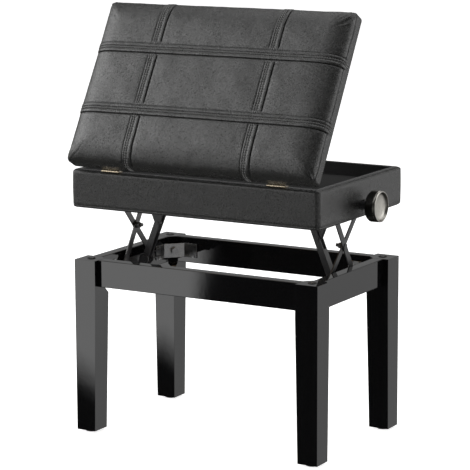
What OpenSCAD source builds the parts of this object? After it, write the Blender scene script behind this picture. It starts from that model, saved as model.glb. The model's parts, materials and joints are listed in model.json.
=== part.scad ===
// Height-adjustable bench with a storage box under a hinged padded lid.
// A screw spindle opens and closes four linkages that raise the box on its wooden base.

/* [Base frame] */
// Length of the base over the legs
base_len = 552; // [548:1:556]
// Depth of the base over the legs
base_dep = 348; // [344:1:352]
// Length of a leg, from its foot to the top of the base
leg_h = 352; // [330:1:370]
// Width of a leg where it meets the rails
leg_top_w = 48.5; // [47:0.5:50]
// Width of a leg at its foot
leg_foot_w = 43; // [40:0.5:46]
// Height of a rail
rail_h = 54.5; // [53:0.5:58]
// Thickness of a rail
rail_t = 22; // [21:1:24]
// Set-back of a rail's outer face behind the legs
rail_set = 12; // [11:0.5:13]
// Height of a foot glide under its leg
glide_h = 4.5; // [3:0.5:6]

/* [Seat box] */
// Length of the box over its covering
box_len = 556; // [554:1:560]
// Depth of the box over its covering
box_dep = 342; // [340:1:346]
// Height of the box
box_h = 77; // [75:1:80]
// Thickness of a box board
board_t = 12; // [11:0.5:13]
// Depth of the storage space under the rim
storage_depth = 26; // [24:1:28]
// Radius of the box's upright corners
box_corner_r = 8; // [4:1:10]

/* [Lid] */
// Opening angle of the lid from closed
lid_open = 60; // [20:1:60]
// Length of the cushion, front to back
cushion_dep = 352; // [346:1:354]
// Thickness of the cushion over its board
cushion_t = 42; // [30:1:50]
// Radius of the cushion's upper edges
cushion_r = 20; // [10:1:24]

/* [Height adjuster] */
// Gap between the base and the box at full height
gap = 106; // [104:1:108]
// Slant of the drive arms from upright
arm_slant = 22; // [21:0.5:24]
// Slant of the scissor arms from upright
scissor_slant = 37.6; // [36:0.2:39]
// Distance of a drive arm's lower pivot from the middle
pivot_x = 216; // [214:1:218]
// Diameter of the spindle
spindle_d = 8; // [7:0.5:8]
// Diameter of a hand knob
knob_d = 61; // [50:1:64]
// Length of a hand knob's grip
knob_grip = 24; // [20:1:28]

/* [Hidden] */
$fn = 48;
eps = 0.5;

// Heights
base_top = glide_h + leg_h;
rail_bottom = base_top - rail_h;
box_bottom = base_top + gap;
box_top = box_bottom + box_h;

// Half sizes of the base
leg_x = base_len / 2;
leg_y = base_dep / 2;
rail_out_x = leg_x - rail_set;
rail_out_y = leg_y - rail_set;
rail_in_x = rail_out_x - rail_t;
rail_in_y = rail_out_y - rail_t;
leg_in_x = leg_x - leg_top_w;
leg_in_y = leg_y - leg_top_w;
slant_below_rail = 3;
slant_run = 15;

// Bumpers let into the tops of the legs
bumper_r = 8.5;
bumper_t = 4;
bumper_proud = 1.2;
bumper_hole_r = 2;
bumper_recess = 1.8;

// Corner plates
plate_w = 45;
plate_tall = 30;
plate_t = 2;
wing = 31;
plate_leg = plate_w / sqrt(2);
plate_mid_x = rail_in_x - plate_leg / 2;
plate_mid_y = rail_in_y - plate_leg / 2;
plate_z = base_top - 28;
bolt_r = 4;

// Seat box
cover_t = 1;
box_x = box_len / 2;
box_y = box_dep / 2;
board_x = box_x - cover_t;
board_y = box_y - cover_t;
board_in_x = board_x - board_t;
board_in_y = board_y - board_t;
cover_tuck = 8;
lining_t = 1;
floor_t = 5;
floor_top = box_top - storage_depth - lining_t;
floor_under = floor_top - floor_t;
cleat = 12;

// Spindle and its linkage
spindle_r = spindle_d / 2;
spindle_z = box_bottom + 24;
pivot_z = base_top - 22;
lift_span = spindle_z - pivot_z;
arm_len = lift_span / cos(arm_slant);
nut_x = pivot_x - lift_span * tan(arm_slant);
nut_size = 18;
nut_w = 10.4;
sheet = 2.5;
arm_w = 13;
arm_gap = 11;
link_w = 12;
link_bar = 10.4;
bracket_gap = 16.6;
bracket_sheet = 3;
pin_r = 3.5;
pin_play = 0.05;
base_pin_r = 4;

// Scissor arms, drawn upright over their lower pivots and then leant outwards
scissor_low_z = base_top - 28;
scissor_high_z = box_bottom + 12;
scissor_lean = 5.2;
scissor_span = (scissor_high_z - scissor_low_z) / cos(scissor_lean);
scissor_len = scissor_span / cos(scissor_slant);
scissor_y = scissor_span / 2 * tan(scissor_slant);
scissor_w = 13;
scissor_t = 2.6;
scissor_out_x = 236.2;
scissor_in_x = 233.2;
scissor_pin_r = 2.5;
scissor_travel_y = 33;

// Hinges
hinge_x = 187;
hinge_len = 38;
hinge_r = 2.8;
hinge_pin_r = 1.5;
hinge_y = -box_y - 2.5;
hinge_z = box_top + 1.5;
leaf_t = 1.3;
leaf_w = 12;
knuckles = 5;

// Lid, in a frame at the hinge axis with the lid lying closed
lid_y0 = 2.5;
lid_z0 = 1.5;
lid_lining_t = 0.8;
lid_board_t = 8;
lid_skirt = 2;
lid_top = lid_z0 + lid_lining_t + lid_board_t + cushion_t;

// The origin is on the floor, at the middle of the whole object with its lid open
front_y = hinge_y + (lid_y0 + cushion_r) * cos(lid_open) - (lid_top - cushion_r) * sin(lid_open)
    - cushion_r;
middle_y = (front_y + leg_y) / 2;

// Lid stay: its arm slides along a track in the box as the lid turns
stay_x = -255.4;
stay_t = 2;
stay_w = 11;
stay_on_lid = 146;
stay_drop = 16;
stay_len = 168;
stay_share = 0.886;
stay_pin_r = 2.5;
stay_track_z = hinge_z - stay_drop;

// Shared shapes

// A plate lying in the XZ plane, given thick along Y and standing at y
module plate_xz(y, thick) {
    translate([0, y + thick, 0]) rotate([90, 0, 0]) linear_extrude(thick) children();
}

// A plate lying in the YZ plane, given thick along X and standing at x
module plate_yz(x, thick) {
    translate([x, 0, 0]) rotate([90, 0, 90]) linear_extrude(thick) children();
}

// A cylinder along X from x0 to x1
module rod_x(x0, x1, r, y = 0, z = 0) {
    translate([x0, y, z]) rotate([0, 90, 0]) cylinder(h = x1 - x0, r = r);
}

// A cylinder along Y from y0 to y1
module rod_y(y0, y1, r, x = 0, z = 0) {
    translate([x, y0, z]) rotate([-90, 0, 0]) cylinder(h = y1 - y0, r = r);
}

// A flat bar with round ends, from the origin along +Y of its own plane
module bar_2d(length, width) {
    translate([-width / 2, 0]) square([width, length]);
    circle(d = width);
    translate([0, length]) circle(d = width);
}

// A rectangle with round corners, centred
module round_rect(half_x, half_y, r) {
    square([2 * half_x, 2 * (half_y - r)], center = true);
    square([2 * (half_x - r), 2 * half_y], center = true);
    for (sx = [-1, 1], sy = [-1, 1])
        translate([sx * (half_x - r), sy * (half_y - r)]) circle(r = r);
}

// Moves everything from the middle of the base to the middle of the object
module placed() {
    translate([0, -middle_y, 0]) children();
}

module side(sx) {
    if (sx > 0) children();
    else mirror([1, 0, 0]) children();
}

module corner(sx, sy) {
    side(sx) {
        if (sy > 0) children();
        else mirror([0, 1, 0]) children();
    }
}

// Base frame

// Outline of a leg seen from one side: upright outside, tapered inside below the rails
module leg_outline(outer) {
    polygon([
        [outer - leg_top_w, base_top], [outer, base_top], [outer, glide_h],
        [outer - leg_foot_w, glide_h], [outer - leg_top_w, rail_bottom - slant_run]
    ]);
}

module leg_slant_cut() {
    cut_bottom = rail_bottom - slant_below_rail;
    deep = 40;
    translate([leg_in_x, rail_in_y, 0]) rotate([0, 0, -45]) translate([-deep, -deep, 0])
        rotate([90, 0, 90]) linear_extrude(2 * deep) polygon([
            [0, cut_bottom - slant_run - deep], [deep, cut_bottom],
            [deep, base_top + eps], [0, base_top + eps]
        ]);
}

module leg() {
    color("#16161a") difference() {
        intersection() {
            plate_xz(0, leg_y + eps) leg_outline(leg_x);
            plate_yz(0, leg_x + eps) leg_outline(leg_y);
        }
        leg_slant_cut();
        leg_bolt_axis() cylinder(h = 40, r = bolt_r + 0.2);
        leg_top() {
            translate([0, 0, bumper_proud - bumper_t]) cylinder(h = bumper_t, r = bumper_r + 0.2);
            translate([0, 0, -20]) cylinder(h = 20, r = 1.8);
        }
        translate([leg_x - leg_foot_w / 2, leg_y - leg_foot_w / 2, glide_h - eps])
            cylinder(h = 14, r = 2.2);
    }
}

// The long rails run between the legs along X, the short ones along Y
module long_rail() {
    color("#16161a") translate([-leg_in_x, rail_in_y, rail_bottom])
        cube([2 * leg_in_x, rail_t, rail_h]);
}

module short_rail() {
    color("#16161a") translate([rail_in_x, -leg_in_y, rail_bottom])
        cube([rail_t, 2 * leg_in_y, rail_h]);
}

// The middle of a leg's top
module leg_top() {
    translate([leg_x - leg_top_w / 2, leg_y - leg_top_w / 2, base_top]) children();
}

// Rubber ring that the lowered box can come down on, held by the screw in its middle
module leg_bumper() {
    leg_top() difference() {
        translate([0, 0, bumper_proud - bumper_t]) cylinder(h = bumper_t, r = bumper_r);
        translate([0, 0, bumper_proud - bumper_recess]) cylinder(h = bumper_recess + eps, r = 4.2);
        translate([0, 0, -bumper_t]) cylinder(h = bumper_t + eps, r = bumper_hole_r);
    }
}

module bumper_screw() {
    leg_top() {
        translate([0, 0, bumper_proud - bumper_recess]) cylinder(h = 1.5, r = 3.8);
        translate([0, 0, -18]) cylinder(h = 18, r = 1.6);
    }
}

// Axis of a leg bolt, starting on the corner plate and pointing into the leg
module leg_bolt_axis() {
    translate([plate_mid_x, plate_mid_y, plate_z]) rotate([0, 0, 45]) rotate([0, 90, 0])
        children();
}

module corner_plate() {
    t = plate_t;
    fold = t * (sqrt(2) - 1);
    difference() {
        translate([0, 0, plate_z - plate_tall / 2]) linear_extrude(plate_tall) {
            polygon([
                [rail_in_x, rail_in_y - plate_leg], [rail_in_x - plate_leg, rail_in_y],
                [rail_in_x - plate_leg - t, rail_in_y - fold],
                [rail_in_x - fold, rail_in_y - plate_leg - t]
            ]);
            translate([rail_in_x - plate_leg - wing, rail_in_y - t]) square([wing + eps, t]);
            translate([rail_in_x - t, rail_in_y - plate_leg - wing]) square([t, wing + eps]);
        }
        leg_bolt_axis() translate([0, 0, -6]) cylinder(h = 12, r = bolt_r + 0.2);
    }
}

// One hex bolt with its washer, from the plate into the leg
module leg_bolt() {
    leg_bolt_axis() {
        translate([0, 0, -plate_t - 1.2]) cylinder(h = 1.2, r = 8.5);
        translate([0, 0, -plate_t - 7]) cylinder(h = 5.8, r = 7.4, $fn = 6);
        translate([0, 0, -plate_t - 1]) cylinder(h = 40 + plate_t, r = bolt_r);
    }
}

module plate_screw_set() {
    head_r = 2.9;
    for (along = [8, 23], dz = [-12, 12]) {
        translate([rail_in_x - plate_leg - along, rail_in_y - plate_t, plate_z + dz])
            rotate([90, 0, 0]) cylinder(h = 1.4, r = head_r);
        translate([rail_in_x - plate_t, rail_in_y - plate_leg - along, plate_z + dz])
            rotate([0, -90, 0]) cylinder(h = 1.4, r = head_r);
    }
}

module foot_glide() {
    translate([leg_x - leg_foot_w / 2, leg_y - leg_foot_w / 2, 0]) {
        cylinder(h = glide_h - 1, r = 13);
        translate([0, 0, glide_h - 1]) cylinder(h = 1, r = 11);
        translate([0, 0, glide_h - eps]) cylinder(h = 12, r = 2);
    }
}

// Cheek that carries a drive arm's lower pivot: it rises from the rail to a round eye
module base_cheek_2d() {
    eye_r = 11;
    web_low = rail_bottom + 2;
    web_high = rail_bottom + 18;
    difference() {
        union() {
            translate([pivot_x, pivot_z]) circle(r = eye_r);
            polygon([
                [rail_in_x, web_low], [rail_in_x, web_high], [rail_in_x - 9, web_high],
                [pivot_x + 6.5, pivot_z + 8.8], [pivot_x - 9, pivot_z - 6.3], [rail_in_x - 14, web_low]
            ]);
        }
        translate([pivot_x, pivot_z]) circle(r = base_pin_r);
    }
}

module base_bracket() {
    web_low = rail_bottom + 2;
    web_high = rail_bottom + 18;
    color("#202023") {
        for (sy = [0, 1]) mirror([0, sy, 0])
            plate_xz(bracket_gap / 2, bracket_sheet) base_cheek_2d();
        translate([rail_in_x - sheet, -bracket_gap / 2 - 18, web_low])
            cube([sheet, bracket_gap + 36, web_high - web_low]);
    }
}

// Leans a scissor outwards about the line through its lower pivots
module lean_out() {
    translate([scissor_out_x, 0, scissor_low_z]) rotate([0, scissor_lean, 0])
        translate([-scissor_out_x, 0, -scissor_low_z]) children();
}

// Plate on a short rail with a slot for the lower end of each scissor arm.
// It stands off the rail so that the slots lie over the wings of the corner plates.
module scissor_base_guide() {
    plate_x = rail_in_x - 3.5;
    plate_thick = 1.4;
    half_h = 8.5;
    slot_half = scissor_pin_r + 3;
    slot_y0 = scissor_y - 5;
    slot_y1 = scissor_y + scissor_travel_y + 5;
    spacer_y = 36;
    color("#202023") {
        plate_yz(plate_x, plate_thick) difference() {
            translate([-slot_y1 - 6, scissor_low_z - half_h])
                square([2 * (slot_y1 + 6), 2 * half_h]);
            for (sy = [-1, 1])
                translate([sy * (slot_y0 + slot_y1) / 2, scissor_low_z])
                    square([slot_y1 - slot_y0, 2 * slot_half], center = true);
        }
        translate([plate_x + plate_thick, -spacer_y, scissor_low_z - half_h])
            cube([rail_in_x - plate_x - plate_thick, 2 * spacer_y, 2 * half_h]);
    }
}

module base_pivot_pin() {
    half = bracket_gap / 2 + bracket_sheet;
    rod_y(-half, half, base_pin_r, pivot_x, pivot_z);
    rod_y(half, half + 2.2, 6.5, pivot_x, pivot_z);
    rod_y(-half - 2.2, -half, 6.5, pivot_x, pivot_z);
}

module base_screw_set() {
    head_x = rail_in_x - sheet;
    for (sy = [-1, 1], dz = [6, 14])
        rod_x(head_x - 1.6, head_x, 3.4, sy * 19, rail_bottom + dz);
}

// Seat box

module long_board() {
    color("#8a6a46") intersection() {
        translate([0, 0, box_bottom]) linear_extrude(box_h - cover_t)
            round_rect(board_x, board_y, box_corner_r - cover_t);
        translate([-box_x, board_in_y, box_bottom - eps]) cube([box_len, board_t + eps, box_h]);
    }
}

module short_board() {
    color("#8a6a46") difference() {
        translate([board_in_x, -board_in_y, box_bottom])
            cube([board_t, 2 * board_in_y, box_h - cover_t]);
        rod_x(board_in_x - eps, board_x + eps, 9, 0, spindle_z);
    }
}

module storage_floor() {
    color("#3a3a3a") translate([-board_in_x, -board_in_y, floor_under])
        cube([2 * board_in_x, 2 * board_in_y, floor_t]);
}

module floor_lining() {
    color("#2a2a2a") translate([-board_in_x, -board_in_y, floor_top])
        cube([2 * board_in_x, 2 * board_in_y, lining_t]);
}

module floor_cleats() {
    color("#8a6a46") for (sy = [0, 1]) mirror([0, sy, 0])
        translate([-board_in_x, board_in_y - cleat, floor_under - cleat])
            cube([2 * board_in_x, cleat, cleat]);
}

// Covering: down the outside, over the rim and a short way down the inside
module box_cover() {
    inner_r = 1.5;
    color("#1d1d1f") difference() {
        translate([0, 0, box_bottom]) linear_extrude(box_h)
            round_rect(box_x, box_y, box_corner_r);
        translate([0, 0, box_bottom - eps]) linear_extrude(box_h - cover_t - cover_tuck + eps)
            round_rect(board_x, board_y, box_corner_r - cover_t);
        translate([0, 0, box_top - cover_t - cover_tuck - eps]) linear_extrude(cover_tuck + eps)
            difference() {
                round_rect(board_x, board_y, box_corner_r - cover_t);
                round_rect(board_in_x, board_in_y, inner_r);
            }
        translate([0, 0, box_bottom]) linear_extrude(box_h + eps)
            round_rect(board_in_x - cover_t, board_in_y - cover_t, inner_r);
        for (sx = [0, 1]) mirror([sx, 0, 0]) rod_x(board_x - eps, box_x + eps, 9, 0, spindle_z);
    }
}

// Forked bracket under the storage floor that carries a lift link
module box_bracket() {
    half_len = 14;
    top_t = 2;
    color("#202023") {
        translate([pivot_x - half_len, -28, floor_under - top_t]) cube([2 * half_len, 56, top_t]);
        for (sy = [0, 1]) mirror([0, sy, 0]) {
            translate([pivot_x - half_len, bracket_gap / 2, spindle_z])
                cube([2 * half_len, bracket_sheet, floor_under - spindle_z]);
            plate_xz(bracket_gap / 2, bracket_sheet)
                translate([pivot_x, spindle_z]) circle(r = half_len);
            rod_y(bracket_gap / 2 + bracket_sheet, bracket_gap / 2 + bracket_sheet + 2, 6,
                pivot_x, spindle_z);
        }
    }
}

// Angle under the storage floor that the upper ends of the scissor arms run along
module scissor_top_guide() {
    flange = 2.5;
    wall_x = 252.6;
    low = box_bottom + 4;
    y0 = -scissor_y - scissor_travel_y - 12;
    y1 = -y0;
    color("#202023") {
        translate([wall_x, y0, floor_under - flange]) cube([board_in_x - wall_x - 4, y1 - y0, flange]);
        difference() {
            translate([wall_x, y0, low]) cube([flange, y1 - y0, floor_under - low]);
            rod_x(wall_x - eps, wall_x + flange + eps, 10, 0, spindle_z);
        }
    }
}

// Flanged bush in each short board, and the thin washer on the outside
module spindle_bearing() {
    difference() {
        union() {
            rod_x(board_in_x - 2.5, board_in_x, 13, 0, spindle_z);
            rod_x(board_in_x - eps, box_x + eps, 8.9, 0, spindle_z);
            rod_x(box_x, box_x + 1, 12.5, 0, spindle_z);
        }
        rod_x(board_in_x - 4, box_x + 3, spindle_r + pin_play, 0, spindle_z);
    }
}

// Channel on the left board; the stay arm's pin slides between its flanges
module stay_track() {
    wall = 1.4;
    groove = 7.6;
    deep = 7.6;
    y0 = -10;
    y1 = board_in_y - 2;
    color("#8d8f92") translate([-board_in_x, y0, stay_track_z]) {
        translate([0, 0, -groove / 2 - wall]) cube([wall, y1 - y0, groove + 2 * wall]);
        for (up = [0, 1]) mirror([0, 0, up])
            translate([0, 0, groove / 2]) cube([deep, y1 - y0, wall]);
    }
}

// Hinges

module hinge_frame(angle) {
    translate([0, hinge_y, hinge_z]) rotate([angle, 0, 0]) children();
}

// Alternate knuckles belong to the two leaves
module hinge_knuckles(first) {
    step = hinge_len / knuckles;
    for (i = [first:2:knuckles - 1])
        rod_x(-hinge_len / 2 + i * step + 0.15, -hinge_len / 2 + (i + 1) * step - 0.15, hinge_r);
}

module hinge_bore() {
    rod_x(-hinge_len / 2 - eps, hinge_len / 2 + eps, hinge_pin_r + pin_play);
}

module box_hinge_leaf() {
    step = hinge_len / knuckles;
    difference() {
        union() {
            hinge_knuckles(0);
            for (i = [0:2:knuckles - 1])
                translate([-hinge_len / 2 + i * step + 0.15, 0, -1.5]) cube([step - 0.3, 3.5, leaf_t]);
            translate([-hinge_len / 2, 3.2, -1.5]) cube([hinge_len, leaf_w, leaf_t]);
        }
        hinge_bore();
    }
}

module lid_hinge_leaf() {
    step = hinge_len / knuckles;
    difference() {
        union() {
            hinge_knuckles(1);
            for (i = [1:2:knuckles - 1])
                translate([-hinge_len / 2 + i * step + 0.15, 0, 1.5 - leaf_t])
                    cube([step - 0.3, 3.5, leaf_t]);
            translate([-hinge_len / 2, 3.2, 1.5 - leaf_t]) cube([hinge_len, leaf_w, leaf_t]);
        }
        hinge_bore();
    }
}

module box_hinge_leaves() {
    color("#b08d4c") for (sx = [-1, 1]) translate([sx * hinge_x, 0, 0]) hinge_frame(0) box_hinge_leaf();
}

module lid_hinge_leaves() {
    color("#b08d4c") for (sx = [-1, 1])
        translate([sx * hinge_x, 0, 0]) hinge_frame(lid_open) lid_hinge_leaf();
}

module hinge_pins() {
    color("#b08d4c") for (sx = [-1, 1]) translate([sx * hinge_x, 0, 0]) hinge_frame(lid_open) {
        rod_x(-hinge_len / 2 - 0.6, hinge_len / 2 + 0.6, hinge_pin_r);
        for (end = [0, 1]) mirror([end, 0, 0])
            rod_x(hinge_len / 2 + 0.1, hinge_len / 2 + 1.1, 2.2);
    }
}

// Heads of the screws in the lid leaves
module hinge_screws() {
    head = 0.25;
    color("#b08d4c") for (sx = [-1, 1], at = [-13, 0, 13])
        translate([sx * hinge_x, 0, 0]) hinge_frame(lid_open)
            translate([at, 9, 1.5 - leaf_t - head]) cylinder(h = head, r = 2.2);
}

// Lid

module lid_board_shape(z, thick) {
    translate([0, lid_y0 + cushion_dep / 2, z]) linear_extrude(thick)
        round_rect(box_x - lid_skirt, cushion_dep / 2 - lid_skirt, cushion_r - lid_skirt);
}

module lid_board() {
    color("#8a6a46") hinge_frame(lid_open) lid_board_shape(lid_z0 + lid_lining_t, lid_board_t);
}

module lid_lining() {
    inset = 9;
    color("#2a2a2a") hinge_frame(lid_open) difference() {
        translate([-box_x + inset, lid_y0 + inset, lid_z0])
            cube([box_len - 2 * inset, cushion_dep - 2 * inset, lid_lining_t]);
        for (sx = [-1, 1]) translate([sx * hinge_x - hinge_len / 2 - 1, 0, lid_z0 - eps])
            cube([hinge_len + 2, leaf_w + 4.5, 2]);
        translate([stay_x - 2, stay_on_lid - 13, lid_z0 - eps]) cube([17, 26, 2]);
    }
}

// Foam and its covering, which wraps the edges of the lid board
module seat_cushion() {
    r = cushion_r;
    bottom = lid_z0 + lid_lining_t;
    color("#1d1d1f") hinge_frame(lid_open) difference() {
        hull() {
            for (x = [-box_x + r, box_x - r], y = [lid_y0 + r, lid_y0 + cushion_dep - r]) {
                translate([x, y, lid_top - r]) sphere(r = r, $fn = 32);
                translate([x, y, bottom]) cylinder(h = 5, r = r, $fn = 32);
            }
        }
        lid_board_shape(bottom - eps, lid_board_t + eps);
    }
}

// Lid stay

module stay_bracket() {
    tab_x = stay_x + stay_t / 2 + 0.3;
    color("#8d8f92") hinge_frame(lid_open) {
        translate([tab_x, stay_on_lid - 12, lid_z0 - 0.7]) cube([13, 24, 1.5]);
        plate_yz(tab_x, 1.8) {
            translate([stay_on_lid - 7, -stay_drop]) square([14, stay_drop + lid_z0]);
            translate([stay_on_lid, -stay_drop]) circle(r = 7);
        }
        rod_x(stay_x - stay_t / 2 - 0.2, tab_x + eps, stay_pin_r, stay_on_lid, -stay_drop);
    }
}

// The arm hangs from the lid bracket; its pin runs in the track
module stay_arm() {
    dip = stay_share * lid_open;
    color("#8d8f92") hinge_frame(0)
        translate([0, stay_on_lid * cos(lid_open) + stay_drop * sin(lid_open),
                stay_on_lid * sin(lid_open) - stay_drop * cos(lid_open)])
        rotate([-dip, 0, 0]) {
            plate_yz(stay_x - stay_t / 2, stay_t) difference() {
                rotate([0, 0, -90]) bar_2d(stay_len, stay_w);
                circle(r = stay_pin_r + pin_play);
            }
            rod_x(-board_in_x + 2.2, stay_x, 3, stay_len, 0);
            rod_x(stay_x + stay_t / 2 - 0.2, stay_x + stay_t / 2 + 1.2, 4.5, stay_len, 0);
        }
}

// Spindle

module spindle() {
    color("#85878a") rod_x(-box_x - 30, box_x + 30, spindle_r, 0, spindle_z);
}

module spindle_collars() {
    color("#85878a") for (sx = [0, 1]) mirror([sx, 0, 0]) difference() {
        rod_x(board_in_x - 12, board_in_x - 3, 9, 0, spindle_z);
        rod_x(board_in_x - 13, board_in_x - 2, spindle_r, 0, spindle_z);
    }
}

// Knurled cup on a slim neck
module knob() {
    neck_x = box_x + 1.5;
    grip_x = box_x + 21;
    face_x = grip_x + knob_grip;
    rim = 2.5;
    dish = 8;
    color("#77736c") difference() {
        union() {
            rod_x(neck_x, grip_x + eps, 8, 0, spindle_z);
            rod_x(grip_x, grip_x + 1.5, knob_d / 2 - 3, 0, spindle_z);
            rod_x(grip_x + 1.5, face_x, knob_d / 2, 0, spindle_z);
        }
        rod_x(neck_x - eps, box_x + 30, spindle_r, 0, spindle_z);
        rod_x(face_x - dish, face_x + eps, knob_d / 2 - rim, 0, spindle_z);
    }
}

module spindle_nut() {
    color("#85878a") difference() {
        translate([nut_x - nut_size / 2, -nut_w / 2, spindle_z - nut_size / 2])
            cube([nut_size, nut_w, nut_size]);
        rod_x(nut_x - nut_size, nut_x + nut_size, spindle_r + 0.1, 0, spindle_z);
    }
}

// Linkage

// Turns the XZ plane so that +Z runs from a pivot along a bar
module along(x, z, angle) {
    translate([x, 0, z]) rotate([0, angle, 0]) children();
}

// Two side cheeks joined by a web along the outer edge of the lower half
module drive_arm() {
    web_from = 16;
    web_to = arm_len / 2 - 22;
    color("#262629") along(pivot_x, pivot_z, -arm_slant) {
        for (sy = [0, 1]) mirror([0, sy, 0]) {
            plate_xz(arm_gap / 2, sheet) difference() {
                bar_2d(arm_len, arm_w);
                circle(r = base_pin_r + pin_play);
            }
            for (at = [arm_len / 2, arm_len])
                rod_y(arm_gap / 2 + sheet - 0.1, arm_gap / 2 + sheet + 1.2, 4.5, 0, at);
        }
        translate([arm_w / 2 - sheet, -arm_gap / 2 - eps, web_from])
            cube([sheet, arm_gap + 2 * eps, web_to - web_from]);
        rod_y(-arm_gap / 2 - eps, arm_gap / 2 + eps, pin_r, 0, arm_len / 2);
    }
}

// A bar pinned at the middle of the drive arm, forked above to straddle the spindle
module lift_link() {
    length = arm_len / 2;
    fork_from = 40;
    color("#262629") along(pivot_x - arm_len / 2 * sin(arm_slant),
            pivot_z + arm_len / 2 * cos(arm_slant), arm_slant) {
        plate_xz(-link_bar / 2, link_bar) difference() {
            union() {
                circle(r = link_w / 2);
                translate([-link_w / 2, 0]) square([link_w, fork_from + 6]);
            }
            circle(r = pin_r + pin_play);
        }
        for (sy = [0, 1]) mirror([0, sy, 0]) plate_xz(link_bar / 2, sheet)
            translate([0, fork_from]) bar_2d(length - fork_from, link_w);
    }
}

// One flat arm of a scissor, from its lower end upwards, with a pin that runs in the base guide
module scissor_bar(x) {
    inner = x - scissor_t / 2;
    plate_yz(inner, scissor_t) difference() {
        bar_2d(scissor_len, scissor_w);
        translate([0, scissor_len / 2]) circle(r = pin_r + pin_play);
    }
    rod_x(x, rail_in_x - 2.5, scissor_pin_r, 0, 0);
}

// The outer arm leans to the front
module scissor_outer() {
    color("#262629") lean_out() translate([0, scissor_y, scissor_low_z]) rotate([scissor_slant, 0, 0]) {
        scissor_bar(scissor_out_x);
        rod_x(scissor_out_x, scissor_out_x + 2.3, 5, 0, scissor_len);
    }
}

// The inner arm leans to the back
module scissor_inner() {
    head_x = scissor_in_x - scissor_t / 2 - 1.6;
    color("#262629") lean_out() translate([0, -scissor_y, scissor_low_z]) rotate([-scissor_slant, 0, 0]) {
        scissor_bar(scissor_in_x);
        rod_x(head_x, scissor_in_x, 5.5, 0, 0);
        rod_x(head_x, scissor_in_x, 5.5, 0, scissor_len);
    }
}

// Middle bolt of a scissor with its washer and nut on the inner side and a thin head on the outer side
module scissor_bolt() {
    z = scissor_low_z + scissor_span / 2;
    inner = scissor_in_x - scissor_t / 2;
    outer = scissor_out_x + scissor_t / 2;
    color("#1a1a1c") lean_out() {
        rod_x(inner - 14, outer + 0.4, pin_r, 0, z);
        rod_x(outer + 0.2, outer + 1.5, 6, 0, z);
        rod_x(inner - 1.7, inner - 0.2, 7, 0, z);
        translate([inner - 8.5, 0, z]) rotate([0, 90, 0]) cylinder(h = 6.8, r = 5.9, $fn = 6);
    }
}

placed() corner(-1, -1) leg();  // leg_front_left
placed() corner(1, -1) leg();  // leg_front_right
placed() corner(-1, 1) leg();  // leg_back_left
placed() corner(1, 1) leg();  // leg_back_right
placed() corner(1, -1) long_rail();  // front_rail
placed() long_rail();  // back_rail
placed() side(-1) short_rail();  // left_rail
placed() short_rail();  // right_rail
placed() color("#b9bab8") for (sx = [-1, 1], sy = [-1, 1]) corner(sx, sy) corner_plate();  // corner_plates
placed() color("#9a9b9d") for (sx = [-1, 1], sy = [-1, 1]) corner(sx, sy) leg_bolt();  // leg_bolts
placed() color("#9a9b9d") for (sx = [-1, 1], sy = [-1, 1]) corner(sx, sy) plate_screw_set();  // plate_screws
placed() color("#101012") for (sx = [-1, 1], sy = [-1, 1]) corner(sx, sy) foot_glide();  // foot_glides
placed() color("#101012") for (sx = [-1, 1], sy = [-1, 1]) corner(sx, sy) leg_bumper();  // leg_bumpers
placed() color("#9a9b9d") for (sx = [-1, 1], sy = [-1, 1]) corner(sx, sy) bumper_screw();  // bumper_screws
placed() side(-1) base_bracket();  // base_bracket_left
placed() base_bracket();  // base_bracket_right
placed() side(-1) scissor_base_guide();  // scissor_base_guide_left
placed() scissor_base_guide();  // scissor_base_guide_right
placed() color("#2c2c2f") for (sx = [-1, 1]) side(sx) base_pivot_pin();  // base_pivot_pins
placed() color("#2c2c2f") for (sx = [-1, 1]) side(sx) base_screw_set();  // base_screws
placed() corner(1, -1) long_board();  // box_front_board
placed() long_board();  // box_back_board
placed() side(-1) short_board();  // box_left_board
placed() short_board();  // box_right_board
placed() storage_floor();
placed() floor_lining();
placed() floor_cleats();
placed() box_cover();
placed() side(-1) box_bracket();  // box_bracket_left
placed() box_bracket();  // box_bracket_right
placed() side(-1) scissor_top_guide();  // scissor_top_guide_left
placed() scissor_top_guide();  // scissor_top_guide_right
placed() color("#1a1a1c") for (sx = [-1, 1]) side(sx) spindle_bearing();  // spindle_bearings
placed() stay_track();
placed() box_hinge_leaves();
placed() lid_board();
placed() lid_lining();
placed() seat_cushion();
placed() lid_hinge_leaves();
placed() hinge_pins();
placed() stay_bracket();
placed() stay_arm();
placed() hinge_screws();
placed() spindle();
placed() spindle_collars();
placed() side(-1) knob();  // knob_left
placed() knob();  // knob_right
placed() side(-1) spindle_nut();  // spindle_nut_left
placed() spindle_nut();  // spindle_nut_right
placed() side(-1) drive_arm();  // drive_arm_left
placed() drive_arm();  // drive_arm_right
placed() side(-1) lift_link();  // lift_link_left
placed() lift_link();  // lift_link_right
placed() side(-1) scissor_outer();  // scissor_outer_left
placed() side(-1) scissor_inner();  // scissor_inner_left
placed() scissor_outer();  // scissor_outer_right
placed() scissor_inner();  // scissor_inner_right
placed() side(-1) scissor_bolt();  // scissor_bolt_left
placed() scissor_bolt();  // scissor_bolt_right
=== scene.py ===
"""Looks of the adjustable bench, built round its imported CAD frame. All lengths are in metres."""

import json
import math
from types import SimpleNamespace

import bmesh
import bpy
import numpy as np
from mathutils import Matrix, Vector, noise
from mathutils.bvhtree import BVHTree

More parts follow.
